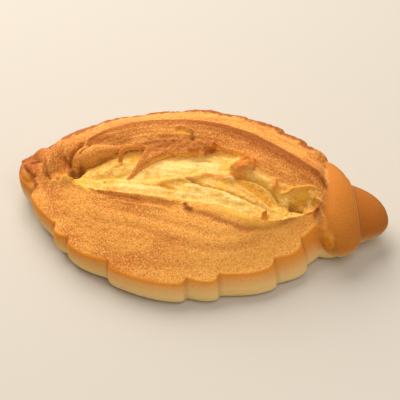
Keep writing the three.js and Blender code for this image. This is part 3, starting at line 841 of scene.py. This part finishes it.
def shape_and_tones(skin):
    """Adds the relief and returns the masks that the materials read."""
    rim, crest, lip, along, high, tuck = (skin.facts[name] for name in FACTS)
    place = skin.co.copy()
    x, y, z = place.T
    above_table = ramp(z, *ABOVE_TABLE)
    skin.smooth_shape(ROUNDS, above_table)
    band_joint = border(skin.near(8, "band"), 0.1)
    skin.smooth_shape(BAND_ROUNDS, band_joint * ramp(z, *BAND_JOINT_Z))
    lump = skin.near(6, "lump")
    skin.smooth_shape(LUMP_ROUNDS, border(lump, 0.12) * ramp(y, *LUMP_JOINT_Y))
    coarse, medium = noise(place, *COARSE), noise(place, *MEDIUM)

    # Right of the orange lumps the high leaf's toasted strip turns slowly into crumb.
    gentle = high * ramp(x, *SOFT_LIP_X)
    torn_edge = lip + coarse * mix(0.3, 2, gentle) + medium * mix(0.2, 1, gentle)
    crumb = ramp(torn_edge, mix(-0.4, -4, gentle), mix(0.5, 4, gentle))
    # The band's left side is torn too, down in the gap by the low leaf.
    from_left = (place - BAND_CENTRE) @ BAND_AHEAD + BAND_HALF_LENGTH + medium * 1.2
    gap = skin.near(1, "band") * (1 - ramp(from_left, *GAP_LENGTH))
    gap = gap * (1 - ramp(z + coarse * 2, *GAP_Z)) * (1 - ramp(y, *GAP_Y))
    crumb = np.maximum(crumb, gap)
    face = ramp(rim, 0, 1.5)
    face = mix(face, skin.smoothed(face, BAND_ROUNDS), band_joint)
    zones = {"crumb": crumb, "face": face * (1 - crumb), "any": np.ones(len(z))}

    tones = {name: np.zeros(len(z)) for name in ("toast", "dark", "gold", "pale", "rough", "smooth")}
    lifted = draw_strokes(place, zones, tones)
    rough = np.clip(tones.pop("rough"), 0, 1)
    face = face * (1 - np.clip(tones.pop("smooth"), 0, 1))
    toast, dark, gold, pale = tones.values()
    wall = 1 - np.maximum(face, crumb)
    lifted += rough * noises(place, ROUGH_LUMPS)
    skin.co[:, 2] += lifted * ramp(z, *STROKES_Z)

    # Layers run along the high leaf's inner strip, streaks down the lump and fibres down the torn gap,
    # and the tucks between wraps are deep.
    inner = zones["face"] * high * ramp(crest, 0.5, 3)
    layer_place = np.stack([crest / LAYER_WIDTH, along * ROLL_LENGTH / LAYER_LENGTH, 0 * z], axis=1)
    layers = noise(layer_place, 1, LAYER_SEED) * inner
    fibres = noise(place, *GAP_FIBRES)
    streaks = noise(place, *LUMP_STREAKS) * lump + fibres * gap
    creases = bell(tuck, 0, 0.9) * wall * ramp(z, *CREASES_Z)
    pushed = zones["face"] * noises(place, SANDY_GRAIN) + crumb * noises(place, CRUMB_FIBRES)
    pushed = pushed + noises(place, FACE_SWELLS) * face + layers * 0.3 + streaks * 0.5 - creases * 0.7
    pushed += high * face * bell(rim, 7, 7) * (0.3 + medium * 0.9)
    for path, lift, golden in WALL_GROOVES:
        strength = brush(place[:, [0, 2]], path, WALL_GROOVE_WIDTH) * wall * (y < 0)
        pushed += strength * lift
        gold += strength * golden
    skin.push(pushed * above_table)

    # Toast on the high leaf: its crest, inner strip and rim, and where its lip isn't sharp.
    on_high = high * face * (1 - crumb)
    on_crest = on_high * (1 - ramp(x, *CREST_END_X))
    right = ramp(along, 0.45, 0.75)
    toast += on_crest * bell(crest, -0.6, 2.9) * mix(0.65, 1, ramp(along, 0.3, 0.6))
    dark += on_crest * bell(crest, 0.4, 1.8) * right * 0.42
    strip_toast = mix(0.75, 0.2, ramp(x, *STRIP_TOAST_END_X))
    toast += on_crest * bell(crest, 2.8, 4) * right * strip_toast
    toast += on_high * ramp(crest, -16, 2) * 0.34 + layers * 0.35
    browned_rim = on_high * (1 - ramp(rim + coarse * 6 + medium * 3, *RIM_TOAST))
    browned_rim *= 1 - 0.7 * ramp(x, *RIM_TOAST_END_X)
    toast += browned_rim * 0.9
    dark += browned_rim * 0.3
    soft_lip = gentle * crumb * ramp(coarse, -0.3, 0.4) * (1 - ramp(lip, 2, 8))
    toast += soft_lip * 0.7
    # Toast on the rolls at both ends, and gold under the strands and the fold and in the torn gap.
    cap = ramp(-x, *CAP_MINUS_X) * ramp(y, *CAP_Y) * face
    toast += cap + lump * 0.32 + streaks * 0.4
    toast += skin.near(6, "band", "shoulder") * 0.45 + skin.near(3, "tip") * 0.75
    strands = skin.near(1, "long strand", "short strand", "web", "loop")
    fold = skin.near(3, "fold")
    below = 1 - ramp(vectors(skin.mesh.vertex_normals, "vector")[:, 2], 0.1, 0.7)
    toast += strands * mix(0.6, 0.15, below) + fold * mix(0.3, 0, below)
    gold += strands * below * 0.7 + fold * below * 0.6
    gold += gap * mix(0.3, 1, ramp(fibres, 0, 0.4))
    # Painted shade in the tucks between wraps.
    dark += creases * 0.25
    # The torn lips' edges, the pale wall, the near face painted paler towards its right end as painted light,
    # and the seam between band and tip.
    high_edge = bell(lip, -0.3, 0.7) * high * (1 - gentle)
    tones["edge"] = high_edge + 0.6 * bell(lip, -0.2, 0.5) * (1 - high)
    pale_top = mix(1.2, 0.95, ramp(along, 0.05, 0.3))
    pale += wall * (1 - ramp(z / PALE_WALL_HEIGHT, 0.15, pale_top))
    # Painted light: the low leaf's face is painted paler towards its right end, where it turns away from the
    # key light.
    pale += zones["face"] * (1 - high) * ramp(x, *PAINTED_LIGHT_FACE_X)
    seam = skin.near(8, "band") * skin.near(8, "tip")
    pale += ramp(seam, 0.03, 0.22) * 0.55
    tones = {name: np.clip(values, 0, 1) for name, values in tones.items()}
    return {**tones, "rim": rim, "face": face, "crumb": crumb}


# ---- materials


# Colours as seen, 0 to 255. Pale sand, pale crumb, golden crumb and dark are also laid on as painted light
# and painted shade.
COLOURS = {
    "sand": (216, 124, 42), "sand patch": (242, 158, 62), "pale sand": (255, 174, 74),
    "sand grain": (255, 206, 120), "pit": (172, 82, 12), "sand speck": (188, 94, 16),
    "browned": (158, 80, 18), "browned grain": (202, 114, 40),
    "wall": (228, 138, 40), "wall patch": (206, 120, 36), "wall grain": (242, 170, 80),
    "wall speck": (186, 100, 24), "toasted wall": (164, 84, 14), "pale wall": (248, 214, 142),
    "rim line": (232, 136, 24), "golden crust": (252, 182, 66),
    "deep crumb": (228, 150, 38), "crumb": (248, 198, 92), "pale crumb": (254, 222, 140),
    "crumb grain": (255, 236, 170), "crumb patch": (238, 166, 34), "golden crumb": (226, 158, 30),
    "toasted crumb": (216, 114, 24), "torn edge": (236, 144, 40), "dark": (126, 62, 6),
    "floor": (200, 189, 173),
}
MIX_SHARE, MIX_UNDER, MIX_OVER, MIX_RESULT = 0, 6, 7, 2  # sockets of a Mix node for colours


def tone(name):
    """A named colour for a shader's socket."""
    def linear(value):
        value /= 255
        return value / 12.92 if value <= 0.04045 else ((value + 0.055) / 1.055) ** 2.4

    return (*map(linear, COLOURS[name]), 1)


class Shader:
    """A material's nodes, added one by one."""

    def __init__(self, name):
        self.material = bpy.data.materials.new(name)
        self.material.use_nodes = True
        self.tree = self.material.node_tree
        self.surface = self.tree.nodes["Principled BSDF"]

    def add(self, kind, inputs=(), **settings):
        node = self.tree.nodes.new("ShaderNode" + kind)
        for name, value in settings.items():
            setattr(node, name, value)
        for key, value in dict(inputs).items():
            self.join(value, node.inputs[key])
        return node

    def join(self, value, socket):
        """Links a socket to another one, or sets it to a value or a named colour."""
        if isinstance(value, bpy.types.NodeSocket):
            self.tree.links.new(value, socket)
        else:
            socket.default_value = tone(value) if isinstance(value, str) else value

    def attribute(self, name):
        return self.add("Attribute", attribute_name=name).outputs["Fac"]

    def noise(self, size, detail=2, roughness=0.5, stretch=(1, 1, 1)):
        """Noise with features of `size` millimetres, longer by `stretch` along X, Y, Z."""
        shares = [1 / k for k in stretch]
        squeezed = self.add("VectorMath", {0: self.place(), 1: shares}, operation="MULTIPLY")
        inputs = {"Vector": squeezed.outputs[0], "Scale": 1 / (size * METRES), "Detail": detail}
        return self.add("TexNoise", {**inputs, "Roughness": roughness}).outputs["Fac"]

    def cells(self, size):
        """Distance from the middle of rounded cells `size` millimetres apart."""
        inputs = {"Vector": self.place(), "Scale": 1 / (size * METRES)}
        return self.add("TexVoronoi", inputs).outputs["Distance"]

    def place(self):
        return self.add("TexCoord").outputs["Object"]

    def band(self, value, low, high, start=0, end=1):
        """From `start` to `end` as the value goes from `low` to `high`."""
        inputs = {"Value": value, "From Min": low, "From Max": high, "To Min": start, "To Max": end}
        return self.add("MapRange", inputs, interpolation_type="SMOOTHSTEP").outputs["Result"]

    def product(self, a, b):
        return self.add("Math", {0: a, 1: b}, operation="MULTIPLY").outputs[0]

    def blend(self, share, under, over):
        """The colour `over` laid on `under` by a share."""
        node = self.add("Mix", data_type="RGBA")
        for value, socket in ((share, MIX_SHARE), (under, MIX_UNDER), (over, MIX_OVER)):
            self.join(value, node.inputs[socket])
        return node.outputs[MIX_RESULT]


BREAD_ROUGHNESS = 0.7
BREAD_SPECULAR = 0.2
GRAIN_HEIGHT = 0.6  # of the fine grain in the bump


def bread_material():
    s = Shader("bread")
    rim, crumb, toast, pale = (s.attribute(name) for name in ("rim", "crumb", "toast", "pale"))
    dark, gold, edge, face = (s.attribute(name) for name in ("dark", "gold", "edge", "face"))
    fine = s.noise(0.8, roughness=0.7)
    patches = s.noise(9, detail=3, roughness=0.6, stretch=(2.4, 1, 1))

    # The cut faces: orange brown with paler patches and grain, painted light laid on as pale sand, fine
    # darker pits, and toast.
    sandy = s.blend(s.band(patches, 0.35, 0.65), "sand", "sand patch")
    # mostly painted light on the faces
    sandy = s.blend(s.product(pale, 0.85), sandy, "pale sand")
    sandy = s.blend(s.band(fine, 0.48, 0.76), sandy, "sand grain")
    pits = s.band(s.cells(1.5), 0.38, 0.1, 0, 0.5)
    sandy = s.blend(pits, sandy, "pit")
    sandy = s.blend(s.band(fine, 0.46, 0.28, 0, 0.7), sandy, "sand speck")
    browned = s.blend(s.band(fine, 0.35, 0.7), "browned", "browned grain")
    sandy = s.blend(toast, sandy, browned)

    # The walls: orange, pale low down, with a line of deeper orange where they round into a cut face.
    wall_patches = s.noise(9, detail=3, roughness=0.6)
    wall = s.blend(s.band(wall_patches, 0.3, 0.7, 0, 0.25), "wall", "wall patch")
    wall = s.blend(s.band(fine, 0.4, 0.7, 0, 0.4), wall, "wall grain")
    wall = s.blend(s.band(fine, 0.46, 0.3, 0, 0.35), wall, "wall speck")
    wall = s.blend(toast, wall, "toasted wall")
    wall = s.blend(pale, wall, "pale wall")
    skin = s.blend(s.band(face, 0, 1), wall, sandy)
    line = s.product(s.band(rim, -1.6, -0.2), s.band(rim, 1.2, 0.2))
    line = s.product(line, s.band(toast, 0.8, 0.1, 0, 0.8))
    skin = s.blend(line, skin, "rim line")

    # The crumb: pale and silky, deeper yellow at random, golden in some folds and hollows as painted shade,
    # paler in places, partly as painted light on a slope and a crest, and toasted orange on its ridges.
    silk = s.noise(1.6, detail=4, roughness=0.7, stretch=(2, 1, 1))
    inside = s.blend(s.band(silk, 0.36, 0.64), "deep crumb", "crumb")
    # paler crumb, and painted light on a slope and a crest
    inside = s.blend(pale, inside, "pale crumb")
    inside = s.blend(s.band(fine, 0.48, 0.7, 0, 0.6), inside, "crumb grain")
    inside = s.blend(s.band(s.noise(5), 0.5, 0.68, 0, 0.6), inside, "crumb patch")
    # the crumb's own gold, and painted shade in folds, the groove, the pit and the window
    inside = s.blend(gold, inside, "golden crumb")
    inside = s.blend(s.product(toast, 0.85), inside, "toasted crumb")
    skin = s.blend(s.product(gold, 0.85), skin, "golden crust")
    colour = s.blend(crumb, skin, inside)
    colour = s.blend(s.product(edge, 0.75), colour, "torn edge")
    # burnt spots and crust, and painted shade in cracks, holes, creases, tucks and the pit
    colour = s.blend(s.product(dark, 0.85), colour, "dark")

    s.join(colour, s.surface.inputs["Base Color"])
    s.join(BREAD_ROUGHNESS, s.surface.inputs["Roughness"])
    s.join(BREAD_SPECULAR, s.surface.inputs["Specular IOR Level"])
    bump = s.add("Bump", {"Height": fine, "Strength": 0.6, "Distance": GRAIN_HEIGHT * METRES})
    s.join(bump.outputs[0], s.surface.inputs["Normal"])
    return s.material


# ---- the roll


def bread_roll():
    skin = Skin()
    tones = shape_and_tones(skin)
    skin.co = (skin.co - MIDDLE) * METRES
    skin.store()
    for name, values in tones.items():
        layer = skin.mesh.attributes.new(name, "FLOAT", "POINT")
        layer.data.foreach_set("value", values.astype(np.float32))
    skin.mesh.shade_smooth()
    roll = added("sweet_roll", skin.mesh)
    skin.mesh.materials.append(bread_material())
    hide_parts("bun")
    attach(roll, "root")


bread_roll()

# ---- floor, light and camera

FLOOR_HALF = 3  # metres
FLOOR_ROUGHNESS = 0.9

# Lights: where they are in degrees and metres, their size in metres, and their power in watts.
KEY_LIGHT = dict(azimuth=219, elevation=46, distance=1.2, size=1.25, power=22.5)
FILL_LIGHT = dict(azimuth=40, elevation=60, distance=1.3, size=1, power=7.5)
ROOM_LIGHT = dict(strength=0.26, colour=(1, 0.97, 0.93, 1))

# The photograph's view: degrees to the right of the roll's front and up, metres, and the lens in millimetres.
VIEW_AZIMUTH, VIEW_ELEVATION = 10.5, 45
VIEW_DISTANCE = 0.59
VIEW_AIM = (0.0014, -0.0041, 0.022)
LENS, SENSOR_WIDTH = 100, 36


def floor():
    corners = [(x * FLOOR_HALF, y * FLOOR_HALF, 0) for x, y in ((-1, -1), (1, -1), (1, 1), (-1, 1))]
    mesh = new_mesh("floor", corners, np.array([[0, 1, 2, 3]]))
    plane = added("floor", mesh)
    s = Shader("floor")
    s.join("floor", s.surface.inputs["Base Color"])
    s.join(FLOOR_ROUGHNESS, s.surface.inputs["Roughness"])
    mesh.materials.append(s.material)


def direction(azimuth, elevation):
    """From the roll towards a place: azimuth 0 is in front of it, 90 to its right."""
    a, e = math.radians(azimuth), math.radians(elevation)
    return Vector((math.sin(a) * math.cos(e), -math.cos(a) * math.cos(e), math.sin(e)))


def softbox(name, azimuth, elevation, distance, size, power):
    light = bpy.data.lights.new(name, "AREA")
    light.size = size
    light.energy = power
    lamp = added(name, light)
    lamp.location = direction(azimuth, elevation) * distance
    lamp.rotation_euler = direction(azimuth, elevation).to_track_quat("Z", "Y").to_euler()


def surroundings(strength, colour):
    world = bpy.data.worlds.new("room")
    world.use_nodes = True
    background = world.node_tree.nodes["Background"]
    background.inputs["Color"].default_value = colour
    background.inputs["Strength"].default_value = strength
    bpy.context.scene.world = world


def camera():
    data = bpy.data.cameras.new("camera")
    data.lens = LENS
    data.sensor_width = SENSOR_WIDTH
    eye = added("camera", data)
    back = direction(VIEW_AZIMUTH, VIEW_ELEVATION)
    eye.location = Vector(VIEW_AIM) + back * VIEW_DISTANCE
    eye.rotation_euler = back.to_track_quat("Z", "Y").to_euler()
    bpy.context.scene.camera = eye


floor()
softbox("key", **KEY_LIGHT)
softbox("fill", **FILL_LIGHT)
surroundings(**ROOM_LIGHT)
camera()
bpy.context.scene.view_settings.view_transform = "Standard"
